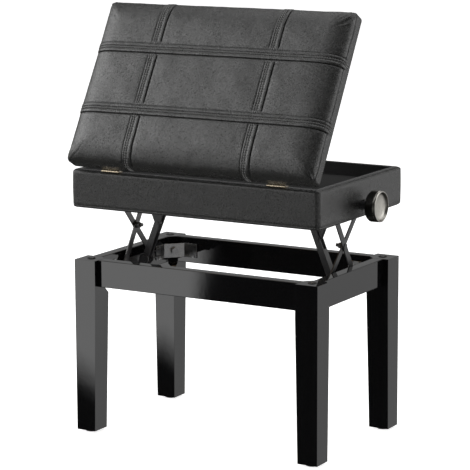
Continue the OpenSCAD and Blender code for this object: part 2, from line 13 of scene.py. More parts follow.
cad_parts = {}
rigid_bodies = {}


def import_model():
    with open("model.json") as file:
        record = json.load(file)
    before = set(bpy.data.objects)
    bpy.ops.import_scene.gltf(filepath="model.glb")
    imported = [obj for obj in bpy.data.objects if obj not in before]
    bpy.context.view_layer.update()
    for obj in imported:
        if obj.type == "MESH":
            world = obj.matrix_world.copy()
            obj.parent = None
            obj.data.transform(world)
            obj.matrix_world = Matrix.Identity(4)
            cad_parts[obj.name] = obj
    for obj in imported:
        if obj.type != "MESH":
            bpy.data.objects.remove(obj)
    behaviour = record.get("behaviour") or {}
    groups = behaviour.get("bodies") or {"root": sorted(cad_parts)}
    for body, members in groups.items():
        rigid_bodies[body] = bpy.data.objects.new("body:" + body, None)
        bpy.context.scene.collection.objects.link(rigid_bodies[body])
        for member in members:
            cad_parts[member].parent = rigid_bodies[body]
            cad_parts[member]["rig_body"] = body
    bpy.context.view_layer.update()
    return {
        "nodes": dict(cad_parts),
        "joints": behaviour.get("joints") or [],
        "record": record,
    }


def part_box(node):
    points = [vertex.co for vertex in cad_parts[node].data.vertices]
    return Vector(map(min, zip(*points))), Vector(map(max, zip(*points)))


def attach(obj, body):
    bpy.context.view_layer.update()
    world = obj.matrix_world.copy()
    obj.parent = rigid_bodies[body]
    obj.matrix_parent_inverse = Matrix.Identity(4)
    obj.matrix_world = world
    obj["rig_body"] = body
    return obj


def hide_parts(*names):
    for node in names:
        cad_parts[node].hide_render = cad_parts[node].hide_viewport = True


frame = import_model()
NODES = frame["nodes"]
JOINTS = {joint["name"]: joint for joint in frame["joints"]}
SLOT_OF = {part["node"]: part["material_slot"] for part in frame["record"]["subparts"]}
MM = 0.001
TAU = 2 * math.pi
scene = bpy.context.scene


# ---------------------------------------------------------------- shader nodes


def put(tree, socket, value):
    """Gives an input a value, or links another node's output to it."""
    if isinstance(value, bpy.types.NodeSocket):
        tree.links.new(value, socket)
    else:
        socket.default_value = value


def add(tree, kind, settings=None, **inputs):
    """A shader node. An underscore in the name of an input stands for a space."""
    made = tree.nodes.new(kind)
    for key, value in (settings or {}).items():
        setattr(made, key, value)
    for key, value in inputs.items():
        put(tree, made.inputs[key.replace("_", " ")], value)
    return made


def maths(tree, operation, *values):
    made = add(tree, "ShaderNodeMath", {"operation": operation})
    for socket, value in zip(made.inputs, values):
        put(tree, socket, value)
    return made.outputs[0]


class Finish:
    """A Principled material with colour, roughness and bump built from object coordinates.

    The plain colour and roughness hold until colors() or roughness() put a texture in their place.
    """

    def __init__(self, name, color, roughness, **sockets):
        self.material = bpy.data.materials.new(name)
        self.material.use_nodes = True
        self.tree = self.material.node_tree
        self.shader = self.tree.nodes["Principled BSDF"]
        self.shader.inputs["Base Color"].default_value = (*color, 1)
        self.shader.inputs["Roughness"].default_value = roughness
        for key, value in sockets.items():
            self.shader.inputs[key.replace("_", " ")].default_value = value
        self.coords = add(self.tree, "ShaderNodeTexCoord").outputs["Object"]
        self.bump = None

    def stretched(self, x, y, z):
        """Object coordinates scaled along each axis, for a grain that runs along one of them."""
        made = add(self.tree, "ShaderNodeMapping", Vector=self.coords, Scale=(x, y, z))
        return made.outputs["Vector"]

    def noise(self, scale, detail, rough=0.5, coords=None):
        """Noise with that many features in a metre."""
        made = add(self.tree, "ShaderNodeTexNoise", Vector=coords or self.coords,
                   Scale=scale, Detail=detail, Roughness=rough)
        return made.outputs["Fac"]

    def cells(self, scale, feature):
        """Distance inside Voronoi cells, that many in a metre."""
        made = add(self.tree, "ShaderNodeTexVoronoi", {"feature": feature},
                   Vector=self.coords, Scale=scale)
        return made.outputs["Distance"]

    def spread(self, value, low, high, start=0.3, end=0.7):
        """A value between low and high that follows a texture from start to end."""
        made = add(self.tree, "ShaderNodeMapRange", Value=value, From_Min=start, From_Max=end,
                   To_Min=low, To_Max=high)
        return made.outputs["Result"]

    def link(self, output, socket):
        self.tree.links.new(output, self.shader.inputs[socket])

    def colors(self, value, low, high, start=0.3, end=0.7):
        """Base colour between two colours that follows a texture from start to end."""
        made = add(self.tree, "ShaderNodeValToRGB", Fac=value)
        for stop, at, color in zip(made.color_ramp.elements, (start, end), (low, high)):
            stop.position = at
            stop.color = (*color, 1)
        self.link(made.outputs["Color"], "Base Color")

    def roughness(self, value, low, high, start=0.3, end=0.7):
        self.link(self.spread(value, low, high, start, end), "Roughness")

    def relief(self, height, depth, strength):
        """Adds a bump of that depth in metres on top of the ones before it."""
        made = add(self.tree, "ShaderNodeBump", Height=height, Distance=depth, Strength=strength)
        if self.bump:
            self.tree.links.new(self.bump, made.inputs["Normal"])
        self.bump = made.outputs["Normal"]
        self.link(self.bump, "Normal")


# ---------------------------------------------------------------- materials


def lacquer():
    f = Finish("black_lacquer", (0.0022, 0.0022, 0.0024), 0.05)
    f.roughness(f.noise(9, 4), 0.012, 0.035)
    f.relief(f.noise(28, 2), 0.00035, 0.04)
    f.relief(f.noise(420, 2), 0.00001, 0.4)
    return f.material


def leather():
    tone = 0.013
    f = Finish("black_leather", (tone,) * 3, 0.36, Specular_IOR_Level=0.55)
    grain = f.cells(520, "DISTANCE_TO_EDGE")
    fine_grain = f.cells(820, "DISTANCE_TO_EDGE")
    speckle = f.noise(360, 2, 0.6)
    dark, light = (tone * 0.72,) * 3, (tone * 1.3, tone * 1.3, tone * 1.2)
    f.colors(f.noise(240, 4, 0.7), dark, light, 0.35, 0.65)
    polish = maths(f.tree, "ADD", f.noise(40, 4), maths(f.tree, "MULTIPLY", grain, 0.5))
    f.roughness(polish, 0.235, 0.285, 0.35, 0.8)
    f.link(f.spread(speckle, 0.38, 0.72, 0.36, 0.64), "Specular IOR Level")
    f.relief(f.noise(120, 2), 0.0004, 0.25)
    f.relief(speckle, 0.0006, 0.3)
    f.relief(f.spread(grain, 0, 1, 0.0, 0.22), 0.00022, 0.6)
    f.relief(f.spread(fine_grain, 0, 1, 0.0, 0.25), 0.00010, 0.5)
    return f.material


def satin_steel():
    f = Finish("satin_black_steel", (0.016, 0.016, 0.017), 0.36)
    f.roughness(f.noise(70, 4), 0.28, 0.42)
    f.relief(f.noise(1700, 2), 0.00004, 0.5)
    f.relief(f.noise(90, 2), 0.0002, 0.12)
    return f.material


def zinc():
    f = Finish("zinc_steel", (0.30, 0.30, 0.305), 0.3, Metallic=1.0)
    f.colors(f.noise(55, 5, 0.65), (0.25, 0.252, 0.26), (0.36, 0.36, 0.355))
    brushed = f.noise(900, 3, coords=f.stretched(0.08, 1, 1))
    f.roughness(brushed, 0.24, 0.42)
    f.relief(brushed, 0.00003, 0.35)
    f.relief(f.cells(260, "F1"), 0.00003, 0.3)
    return f.material


def brass():
    f = Finish("brass", (0.60, 0.51, 0.38), 0.2, Metallic=1.0)
    f.colors(f.noise(120, 4), (0.50, 0.42, 0.30), (0.66, 0.57, 0.43))
    f.roughness(f.noise(600, 3), 0.14, 0.3)
    f.relief(f.noise(1300, 2, coords=f.stretched(0.1, 1, 1)), 0.00002, 0.4)
    return f.material


def turned_metal(name, color, rough):
    """Metal turned on a lathe, with fine marks round the X axis."""
    f = Finish(name, color, rough, Metallic=1.0)
    f.colors(f.noise(160, 4), tuple(c * 0.8 for c in color), color)
    f.roughness(f.noise(240, 3), rough * 0.8, rough * 1.3)
    f.relief(f.noise(2600, 2, coords=f.stretched(1, 0.02, 0.02)), 0.00002, 0.4)
    return f.material


def plywood():
    f = Finish("plywood", (0.62, 0.46, 0.29), 0.62)
    grain = f.noise(7, 6, 0.65, coords=f.stretched(1, 26, 26))
    f.colors(grain, (0.46, 0.31, 0.17), (0.70, 0.53, 0.34), 0.35, 0.7)
    f.roughness(grain, 0.5, 0.75)
    f.relief(f.noise(60, 4, coords=f.stretched(1, 22, 22)), 0.0003, 0.3)
    return f.material


def faced_board():
    f = Finish("faced_board", (0.012, 0.012, 0.012), 0.55)
    f.colors(f.noise(200, 4), (0.009, 0.009, 0.0095), (0.016, 0.016, 0.0155))
    f.roughness(f.noise(300, 3), 0.45, 0.65)
    f.relief(f.cells(1100, "DISTANCE_TO_EDGE"), 0.0001, 0.4)
    return f.material


def lining():
    f = Finish("lining_cloth", (0.02, 0.02, 0.02), 0.95, Specular_IOR_Level=0.15)
    fibre = f.noise(900, 6, 0.75)
    f.colors(fibre, (0.010, 0.010, 0.0105), (0.032, 0.032, 0.031), 0.35, 0.68)
    f.relief(fibre, 0.0003, 0.7)
    f.relief(f.noise(45, 2), 0.0006, 0.25)
    return f.material


def nylon():
    f = Finish("black_nylon", (0.014, 0.014, 0.014), 0.5)
    f.roughness(f.noise(150, 3), 0.42, 0.6)
    f.relief(f.noise(1500, 2), 0.00004, 0.5)
    return f.material


def thread():
    # The thread itself is black; its mid-grey colour is a painted highlight that makes the stitches
    # show as light flecks on the leather.
    f = Finish("black_thread_painted_highlight", (0.16, 0.16, 0.155), 0.45)
    f.colors(f.noise(1800, 2), (0.11, 0.11, 0.107), (0.21, 0.21, 0.205))
    f.relief(f.noise(3000, 2), 0.0001, 0.5)
    return f.material


MATERIALS = {
    "black_lacquer": lacquer(),
    "black_leather": leather(),
    "black_steel": satin_steel(),
    "zinc_steel": zinc(),
    "brass": brass(),
    "gunmetal": turned_metal("gunmetal", (0.075, 0.072, 0.068), 0.36),
    "plywood": plywood(),
    "dark_lining": lining(),
    "black_nylon": nylon(),
}
faced_material = faced_board()
dish_metal = turned_metal("dish_metal", (0.44, 0.425, 0.39), 0.36)
rim_metal = turned_metal("rim_metal", (0.42, 0.405, 0.375), 0.3)
neck_metal = satin_steel()
thread_material = thread()

for name, obj in NODES.items():
    box_board = name.startswith("box_") and name.endswith("_board")
    obj.data.materials.clear()
    obj.data.materials.append(faced_material if box_board else MATERIALS[SLOT_OF[name]])


# ---------------------------------------------------------------- mesh helpers


def placed(name, data):
    """A new object of the scene that holds some mesh, light or camera data."""
    obj = bpy.data.objects.new(name, data)
    scene.collection.objects.link(obj)
    return obj


def link_mesh(name, bm, materials, smooth_under=None):
    """A new object from a bmesh, shaded smooth across edges below that many degrees."""
    if smooth_under is not None:
        limit = math.radians(smooth_under)
        for face in bm.faces:
            face.smooth = True
        for edge in bm.edges:
            edge.smooth = len(edge.link_faces) == 2 and edge.calc_face_angle(0) < limit
    mesh = bpy.data.meshes.new(name)
    bm.to_mesh(mesh)
    bm.free()
    for material in materials:
        mesh.materials.append(material)
    return placed(name, mesh)


def mesh_object(name, points, faces):
    mesh = bpy.data.meshes.new(name)
    mesh.from_pydata([tuple(p) for p in points], [], faces)
    return placed(name, mesh)


def smooth_leather(obj):
    """Gives a piece the leather alone, and shades it smooth all over."""
    obj.data.materials.clear()
    obj.data.materials.append(MATERIALS["black_leather"])
    obj.data.polygons.foreach_set("use_smooth", [True] * len(obj.data.polygons))


def evaluated(obj):
    """A mesh with the object's modifiers applied."""
    depsgraph = bpy.context.evaluated_depsgraph_get()
    return bpy.data.meshes.new_from_object(obj.evaluated_get(depsgraph))


def settle(obj, body, slot, *nodes, pad=None):
    """Puts a piece on its body, in place of CAD nodes. The slot argument is not used."""
    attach(obj, body)
    if nodes:
        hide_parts(*nodes)


def rounded(node, width, steps=2):
    """A CAD node's shape with its sharp edges rounded over."""
    same_point, same_plane, sharp_edge, smooth_under = 2e-6, 0.6, 28, 50
    bm = bmesh.new()
    bm.from_mesh(NODES[node].data)
    bmesh.ops.remove_doubles(bm, verts=bm.verts, dist=same_point)
    bmesh.ops.dissolve_limit(
        bm, angle_limit=math.radians(same_plane), verts=bm.verts, edges=bm.edges
    )
    limit = math.radians(sharp_edge)
    sharp = [e for e in bm.edges if len(e.link_faces) == 2 and e.calc_face_angle(0) > limit]
    bmesh.ops.bevel(
        bm, geom=sharp, offset=width, segments=steps, profile=0.5, affect="EDGES", clamp_overlap=True
    )
    obj = link_mesh(node + "_piece", bm, list(NODES[node].data.materials), smooth_under)
    normals = obj.modifiers.new("normals", "WEIGHTED_NORMAL")
    normals.keep_sharp = True
    settle(obj, NODES[node]["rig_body"], SLOT_OF[node], node)


def lathe(bm, profile, sides, place, wobble, material_of=None):
    """Turns a profile of (along, radius) points about the X axis. A point on the axis closes an end.

    wobble(number, along, angle) is added to the radius, and material_of(number) is the index of the
    material from one point of the profile to the next.
    """
    on_axis = 1e-7
    rings = []
    for k, (along, radius) in enumerate(profile):
        if radius < on_axis:
            rings.append([bm.verts.new(place @ Vector((along, 0, 0)))])
            continue
        ring = []
        for i in range(sides):
            angle = TAU * i / sides
            r = radius + wobble(k, along, angle)
            point = Vector((along, r * math.cos(angle), r * math.sin(angle)))
            ring.append(bm.verts.new(place @ point))
        rings.append(ring)
    for k, (a, b) in enumerate(zip(rings, rings[1:])):
        index = material_of(k) if material_of else 0
        for i in range(sides):
            j = (i + 1) % sides
            corners = [a[i % len(a)], a[j % len(a)], b[j % len(b)], b[i % len(b)]]
            unique = [v for n, v in enumerate(corners) if v not in corners[:n]]
            if len(unique) > 2:
                bm.faces.new(unique).material_index = index
    bmesh.ops.recalc_face_normals(bm, faces=bm.faces)


def offset(profile, along, radius):
    """A profile given in millimetres from a point, as one in metres from the origin."""
    return [(along + a * MM, radius + r * MM) for a, r in profile]


# ---------------------------------------------------------------- CAD shapes with rounded edges

for name in ("leg_front_left", "leg_front_right", "leg_back_left", "leg_back_right"):
    rounded(name, 1.8 * MM, 3)
for name in ("front_rail", "back_rail", "left_rail", "right_rail"):
    rounded(name, 1.2 * MM, 3)
for name in ("corner_plates", "leg_bolts", "foot_glides", "leg_bumpers"):
    rounded(name, 0.5 * MM)
rounded("bumper_screws", 0.3 * MM)

# steel pieces that come in pairs, a left one and a right one
PAIR_EDGES = {
    "drive_arm": 0.45, "lift_link": 0.45, "scissor_outer": 0.45, "scissor_inner": 0.45,
    "base_bracket": 0.45, "box_bracket": 0.45, "scissor_base_guide": 0.4,
    "scissor_top_guide": 0.4, "scissor_bolt": 0.4, "spindle_nut": 0.4,
}
for name in NODES:
    stem = name.rsplit("_", 1)[0]
    if stem in PAIR_EDGES:
        rounded(name, PAIR_EDGES[stem] * MM)
for name in ("spindle_collars", "base_pivot_pins", "spindle_bearings", "stay_track",
             "stay_bracket", "stay_arm"):
    rounded(name, 0.35 * MM)


# ---------------------------------------------------------------- spindle and knobs


def threaded_spindle():
    """The screw: opposite threads on its halves, plain in the middle and near its ends."""
    low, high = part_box("spindle")
    centre = (low + high) / 2
    radius = (high.z - low.z) / 2
    plain_to, plain_from = 12 * MM, 245 * MM
    lead, depth, step = 6 * MM, 0.75 * MM, 0.75 * MM
    flank, root = 2.2, 0.6
    tip = radius - 0.6 * MM
    sides, smooth_under = 20, 60
    count = int(high.x / step)
    profile = [(-high.x, 0), (-high.x, tip)]
    profile += [(i * step, radius) for i in range(1 - count, count)]
    profile += [(high.x, tip), (high.x, 0)]

    def groove(_number, along, angle):
        if abs(along) > plain_from or abs(along) < plain_to:
            return 0
        turn = (abs(along) / lead + math.copysign(1, along) * angle / TAU) % 1
        return -depth * min(1, max(0, abs(turn * 2 - 1) * flank - root))

    bm = bmesh.new()
    lathe(bm, profile, sides, Matrix.Translation((0, centre.y, centre.z)), groove)
    obj = link_mesh("threaded_spindle", bm, [MATERIALS["zinc_steel"]], smooth_under)
    settle(obj, "spindle", "zinc_steel", "spindle")


threaded_spindle()

# stretches of a knob's profile in millimetres, as (along the axis, radius):
# from the back of the grip and the radius of the neck
KNOB_NECK = ((-3.2, 0), (-2.2, 0.4), (-0.6, 2.4), (0, 5))
# from the back of the grip and its outer radius
KNOB_SHOULDER = ((0, -4.2), (0.3, -3.2), (1.6, -2.4), (2.6, -1.4), (3.0, -0.9))
# from the front of the grip and its outer radius
KNOB_RIM = ((-3.6, -1.0), (-3.2, -0.5), (-1.6, -0.1), (-0.5, -0.4), (0, -1.2))
# from the front of the grip and the radius of the dish
KNOB_LIP = ((-0.1, 0.3), (-0.6, 0))


def hand_knob(node, side):
    """Knurled cup knob with a bright rim and a turned dish, on the right or, with side -1, the left."""
    low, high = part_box(node)
    inner, outer = sorted((side * low.x, side * high.x))
    radius = (high.z - low.z) / 2
    grip = outer - 24 * MM
    bore, neck, dish = 4.2 * MM, 8 * MM, radius - 2.6 * MM
    chamfer = 0.5 * MM
    profile = [(inner, bore), (inner, neck - chamfer), (inner + chamfer, neck)]
    profile += offset(KNOB_NECK, grip, neck)
    neck_end = 5
    profile += offset(KNOB_SHOULDER, grip, radius)
    knurl_rings, ring_step, teeth, sides_per_tooth = 12, 1.3, 78, 4
    tooth_height, cross_cut = 0.9 * MM, 0.25 * MM
    knurl_start = len(profile)
    profile += offset([(3.6 + ring_step * k, -0.45) for k in range(knurl_rings)], grip, radius)
    knurl_end = len(profile)
    profile += offset(KNOB_RIM, outer, radius) + offset(KNOB_LIP, outer, dish)
    rim_end = knurl_end + len(KNOB_RIM)
    bowl_steps, bowl_depth, bowl_edge = 12, 7.4 * MM, outer - 0.6 * MM
    # powers below 1 give the bowl a flatter floor and a steeper wall than a ball has
    for k in range(1, bowl_steps + 1):
        turn = math.pi / 2 * k / bowl_steps
        across = dish * math.cos(turn) ** 0.7 if k < bowl_steps else 0
        profile.append((bowl_edge - bowl_depth * math.sin(turn) ** 0.6, across))

    def knurl(number, _along, angle):
        if not knurl_start <= number < knurl_end:
            return 0
        tooth = abs((angle * teeth / TAU) % 1 * 2 - 1)
        cross = abs(((number - knurl_start) / 2.0) % 1 * 2 - 1)
        return (tooth - 0.5) * tooth_height - cross_cut * (cross > 0.5)

    def metal(number):
        """Index of a stretch's metal: 0 for the grip, 1 for the neck, 2 for the dish, 3 for the rim."""
        if number < neck_end:
            return 1
        if number < knurl_end - 1:
            return 0
        return 3 if number < rim_end else 2

    bm = bmesh.new()
    place = Matrix.Translation((0, (low.y + high.y) / 2, (low.z + high.z) / 2))
    if side < 0:
        place = place @ Matrix.Scale(-1, 4, (1, 0, 0))
    lathe(bm, profile, teeth * sides_per_tooth, place, knurl, metal)
    metals = [MATERIALS["gunmetal"], neck_metal, dish_metal, rim_metal]
    smooth_under = 38
    obj = link_mesh("knurled_" + node, bm, metals, smooth_under)
    settle(obj, "spindle", "gunmetal", node)


hand_knob("knob_right", 1)
hand_knob("knob_left", -1)


# ---------------------------------------------------------------- outlines with round corners


def outline(u, v, half_x, half_y, radius):
    """Maps a point of a rectangle onto one with round corners. Returns x, y and the way out.

    The corners get less round towards the middle of the rectangle.
    """
    tightening = 0.3
    inset = min(half_x - abs(u), half_y - abs(v))
    r = max(radius - tightening * inset, 0)
    a, b = half_x - inset, half_y - inset
    on_x = half_x - abs(u) <= half_y - abs(v)
    from_corner = (b - abs(v)) if on_x else (a - abs(u))
    if from_corner < r:
        turn = 45 * (1 - from_corner / r)
        angle = math.radians(turn if on_x else 90 - turn)
        out = (math.cos(angle), math.sin(angle))
        x, y = a - r + r * out[0], b - r + r * out[1]
    elif on_x:
        out, x, y = (1, 0), a, abs(v)
    else:
        out, x, y = (0, 1), abs(u), b
    side_x, side_y = math.copysign(1, u), math.copysign(1, v)
    return x * side_x, y * side_y, Vector((out[0] * side_x, out[1] * side_y, 0))


def border(us, vs):
    """Index pairs round the edge of a grid, in order."""
    n, m = len(us), len(vs)
    return (
        [(i, 0) for i in range(n)] + [(n - 1, j) for j in range(1, m)]
        + [(i, m - 1) for i in range(n - 2, -1, -1)] + [(0, j) for j in range(m - 2, 0, -1)]
    )


def filled(anchors, step):
    """Sorted positions with gaps wider than step divided evenly."""
    tolerance = 1e-6
    anchors = sorted(set(round(a, 7) for a in anchors))
    out = [anchors[0]]
    for a, b in zip(anchors, anchors[1:]):
        parts = max(1, math.ceil((b - a) / step - tolerance))
        out += [a + (b - a) * k / parts for k in range(1, parts + 1)]
    return out


def skirt(rings):
    """Faces between closed rings of the same length, each a list of point numbers."""
    n = len(rings[0])
    return [
        (a[k], b[k], b[(k + 1) % n], a[(k + 1) % n])
        for a, b in zip(rings, rings[1:]) for k in range(n)
    ]


# ---------------------------------------------------------------- seat cushion

# the cushion is built lying flat as on the closed lid, from the hinge, and then turned with the lid
LID = Matrix.Translation(Vector(JOINTS["lid_hinge"]["pos_m"])) @ Matrix.Rotation(
    math.radians(-JOINTS["lid_hinge"]["range_deg"][0]), 4, "X"
)
PAD_X, PAD_Y = 278.7 * MM, 176 * MM
PAD_ASIDE, PAD_MID = 1.2 * MM, 178.5 * MM
PAD_CORNER = 9 * MM
PAD_STEP = 4.6 * MM
PAD_CROWN = 2.2 * MM
ROLL_W, ROLL_H, ROLL_STEPS = 50 * MM, 25 * MM, 16
WALL_TOP = 24 * MM
# each ring of the side wall as height and inset in millimetres; the second to fourth are its seam
WALL = (
    (23.4, -0.1), (22.7, 0.5), (22.1, 1.7), (21.5, 2.0), (20.9, 0.9), (20.2, 0.1), (18.6, -0.1),
    (15, 0), (11.5, 0), (8, 0), (5.2, 0), (3.4, 0.4), (2.2, 1.4), (1.6, 3), (1.5, 6), (1.5, 12),
)
# the last rings of the wall, which lie on the lid board and don't move
FLAT_RINGS = 4
BANDS_X = (-133.2 * MM, 131.3 * MM)
BANDS_Y = (-63.5 * MM, 68.5 * MM)
BAND_HALF = 9.6 * MM
BAND_REACH = 13 * MM
# sewn rows of the bands along Y and along X, in millimetres from the middle of the band
ROWS_V = (-4.2, 0.6)
ROWS_H = (-2.4, 2.6)


def band_profile(rows):
    """Points across a band in millimetres: flat ridges between sewn rows, and a seam at one edge."""
    ridge, puff, low = 0.8, 0.15, -1.0
    shoulder = ridge - 0.1
    groove = ((-1.1, shoulder), (-0.65, 0.1), (-0.3, low), (0.3, low), (0.65, 0.1), (1.1, shoulder))
    points = [(-13, 0), (-10.9, -0.1), (-10.3, -0.9), (-9.8, -0.9), (-9.3, 0.2), (-8.7, shoulder)]
    edges = [-9.4, *rows, 9.4]
    for a, b in zip(edges, edges[1:]):
        points.append(((a + b) / 2, ridge + puff))
        if b in rows:
            points += [(b + at, height) for at, height in groove]
    points += [(8.6, ridge), (9.2, 0.4), (9.6, -1.6), (10.0, -3.2), (10.9, -3.2), (11.3, -1.4)]
    return points + [(11.9, -0.2), (13, 0)]


PROFILE_V, PROFILE_H = band_profile(ROWS_V), band_profile(ROWS_H)


def band_height(t, profile):
    """Height of a band at t metres from its middle."""
    return float(np.interp(t / MM, [at for at, _ in profile], [h for _, h in profile])) * MM


def band_at(u, v, on_side=None):
    """Relief of the sewn bands. The ones along X lie over the ones along Y."""
    for b in BANDS_Y:
        if abs(v - b) < BAND_REACH and on_side != "y":
            return band_height(b - v, PROFILE_H)
    for b in BANDS_X:
        if abs(u - b) < BAND_REACH and on_side != "x":
            return band_height(u - b, PROFILE_V)
    return 0


def pad_height(inset):
    if inset >= ROLL_W:
        return WALL_TOP + ROLL_H
    return WALL_TOP + ROLL_H * math.sqrt(max(0, 1 - ((ROLL_W - inset) / ROLL_W) ** 2))


def pad_surface():
    """The cushion before it swells: a gridded top, whose border runs on down the sides and under."""
    roll = [ROLL_W * (1 - math.cos(math.pi / 2 * k / ROLL_STEPS)) for k in range(ROLL_STEPS + 1)]

    def lines(half, bands, profile, side):
        anchors = [-half + r for r in roll] + [half - r for r in roll]
        for b in bands:
            anchors += [b + side * at * MM for at, _ in profile]
        return filled(anchors, PAD_STEP)

    us, vs = lines(PAD_X, BANDS_X, PROFILE_V, 1), lines(PAD_Y, BANDS_Y, PROFILE_H, -1)
    points, grid = [], {}
    for j, v in enumerate(vs):
        for i, u in enumerate(us):
            x, y, _ = outline(u, v, PAD_X, PAD_Y, PAD_CORNER)
            inset = min(PAD_X - abs(u), PAD_Y - abs(v))
            crown = PAD_CROWN * (1 - (u / PAD_X) ** 2) * (1 - (v / PAD_Y) ** 2)
            grid[i, j] = len(points)
            points.append(Vector((x + PAD_ASIDE, PAD_MID + y, pad_height(inset) + crown)))
    faces = [
        (grid[i, j], grid[i + 1, j], grid[i + 1, j + 1], grid[i, j + 1])
        for i in range(len(us) - 1) for j in range(len(vs) - 1)
    ]
    loop = border(us, vs)
    rings = [[grid[ij] for ij in loop]]
    for z, inset in WALL:
        ring = []
        for i, j in loop:
            x, y, out = outline(us[i], vs[j], PAD_X, PAD_Y, PAD_CORNER)
            ring.append(len(points))
            points.append(Vector((x + PAD_ASIDE, PAD_MID + y, z * MM)) - out * inset * MM)
        rings.append(ring)
    faces += skirt(rings)
    flat = [at for ring in rings[-FLAT_RINGS:] for at in ring]
    return SimpleNamespace(
        us=us, vs=vs, points=points, faces=faces, grid=grid, loop=loop, rings=rings, flat=flat
    )


def inflated(pad):
    """Blows the closed pad up as cloth, held at its underside and its bands. Returns a BVH tree."""
    voxel, core_inset, most = 5 * MM, 1.2 * MM, 9 * MM
    held_below, held_beside, frames = 12 * MM, 7 * MM, 20
    body = mesh_object("pad_core", pad.points, pad.faces + [tuple(reversed(pad.rings[-1]))])
    remesh = body.modifiers.new("voxels", "REMESH")
    remesh.mode, remesh.voxel_size = "VOXEL", voxel
    core = evaluated(body)
    bpy.data.objects.remove(body)
    for vertex, normal in zip(core.vertices, [n.vector.copy() for n in core.vertex_normals]):
        vertex.co -= normal * core_inset
    cloth_obj = placed("pad_cloth", core)
    start = np.array([vertex.co for vertex in core.vertices])
    held = []
    for i, (x, y, z) in enumerate(start):
        near_band = min(abs(x - PAD_ASIDE - b) for b in BANDS_X) < held_beside
        near_band |= min(abs(y - PAD_MID - b) for b in BANDS_Y) < held_beside
        if z < held_below or near_band:
            held.append(i)
    cloth_obj.vertex_groups.new(name="held").add(held, 1, "REPLACE")
    cloth = cloth_obj.modifiers.new("swell", "CLOTH")
    cloth.settings.use_pressure = True
    cloth.settings.uniform_pressure_force = 4
    cloth.settings.effector_weights.gravity = 0
    cloth.settings.vertex_group_mass = "held"
    cloth.settings.quality = 5
    cloth.settings.bending_stiffness = 2
    cloth.collision_settings.use_collision = False
    for number in range(1, frames + 1):
        scene.frame_set(number)
    swollen = evaluated(cloth_obj)
    move = np.array([vertex.co for vertex in swollen.vertices]) - start
    length = np.linalg.norm(move, axis=1)
    move *= np.minimum(1, most / np.maximum(length, 1e-9))[:, None]
    faces = [tuple(face.vertices) for face in swollen.polygons]
    scene.frame_set(1)
    bpy.data.objects.remove(cloth_obj)
    return BVHTree.FromPolygons([Vector(p) for p in start + move], faces)


def vertex_normals(points, faces):
    co, quads = np.array(points), np.array(faces)
    n = np.cross(co[quads[:, 2]] - co[quads[:, 0]], co[quads[:, 3]] - co[quads[:, 1]])
    out = np.zeros_like(co)
    for k in range(4):
        np.add.at(out, quads[:, k], n)
    return out / np.maximum(np.linalg.norm(out, axis=1), 1e-12)[:, None]


def smoothed(values, faces, rounds):
    """Averages a value over neighbouring points."""
    quads = np.array(faces)
    for _ in range(rounds):
        total, weight = np.zeros(len(values)), np.zeros(len(values))
        for a, b in ((0, 1), (1, 2), (2, 3), (3, 0)):
            for p, q in ((a, b), (b, a)):
                np.add.at(total, quads[:, p], values[quads[:, q]])
                np.add.at(weight, quads[:, p], 1)
        values = 0.5 * values + 0.5 * total / np.maximum(weight, 1)
    return values


def pad_swell(pad, normals):
    """How far each point of the cushion moves out as it swells."""
    cast_from, cast_length, rounds = 14 * MM, 20 * MM, 4
    swell = np.zeros(len(pad.points))
    tree = inflated(pad)
    for at, point in enumerate(pad.points):
        out = Vector(normals[at])
        where, _, _, distance = tree.ray_cast(point + out * cast_from, -out, cast_length)
        if where is not None:
            swell[at] = cast_from - distance
    swell[pad.flat] = 0
    swell = smoothed(swell, pad.faces, rounds)
    swell[pad.flat] = 0
    return swell


# the gathers at a corner, as steps from its diagonal along X and along Y, and the push of that line
FOLDS = (
    (0, 0, -2.6), (1, 0, 1.2), (2, 0, 0.2), (3, 0, -1.9), (4, 0, 0.9),
    (0, 1, 1.0), (0, 2, 0.9), (0, 3, -0.6), (0, 4, -1.8), (0, 5, 0.8),
)
# how strongly the gather goes on down the side wall, ring by ring
FOLD_SHARES = (0.8, 0.75, 0.7, 0.6, 0.5, 0.4, 0.3, 0.2)


def fold_corners(pad, relief):
    """Adds the gathered folds at the four corners, on the rolled edge and down the side wall."""
    last_i, last_j = len(pad.us) - 1, len(pad.vs) - 1
    for flip_i in (False, True):
        for flip_j in (False, True):
            for k in range(ROLL_STEPS):
                # deepest halfway up the roll, and gone at its top
                depth = math.sin(math.pi * min(1, (k + 4) / (ROLL_STEPS + 3)))
                for step_i, step_j, push in FOLDS:
                    i, j = k + step_i, k + step_j
                    at = pad.grid[last_i - i if flip_i else i, last_j - j if flip_j else j]
                    relief[at] += push * MM * depth
    crease, ridge, ridge_step = 1.1 * MM, 0.4 * MM, 2
    for corner in ((0, 0), (last_i, 0), (0, last_j), (last_i, last_j)):
        k = pad.loop.index(corner)
        for ring, share in zip(pad.rings[1:], FOLD_SHARES):
            relief[ring[k]] -= crease * share
            relief[ring[(k + ridge_step) % len(ring)]] += ridge * share


def pad_relief(pad):
    """Height of the bands, the folds and the soft unevenness of the leather at each point."""
    share_on_side = 0.8
    relief = np.zeros(len(pad.points))
    for (i, j), at in pad.grid.items():
        relief[at] = band_at(pad.us[i], pad.vs[j])
    for ring in pad.rings[1:]:
        for (i, j), at in zip(pad.loop, ring):
            side = "y" if j in (0, len(pad.vs) - 1) else "x"
            relief[at] = share_on_side * band_at(pad.us[i], pad.vs[j], side)
    # soft waves and finer unevenness: height in metres, and how many go into a metre
    (wave, wave_scale), (ripple, ripple_scale) = (0.9 * MM, 22), (0.35 * MM, 60)
    for at, p in enumerate(pad.points):
        relief[at] += wave * noise.noise(p * wave_scale) + ripple * noise.noise(p * ripple_scale)
    fold_corners(pad, relief)
    relief[pad.flat] = 0
    return relief


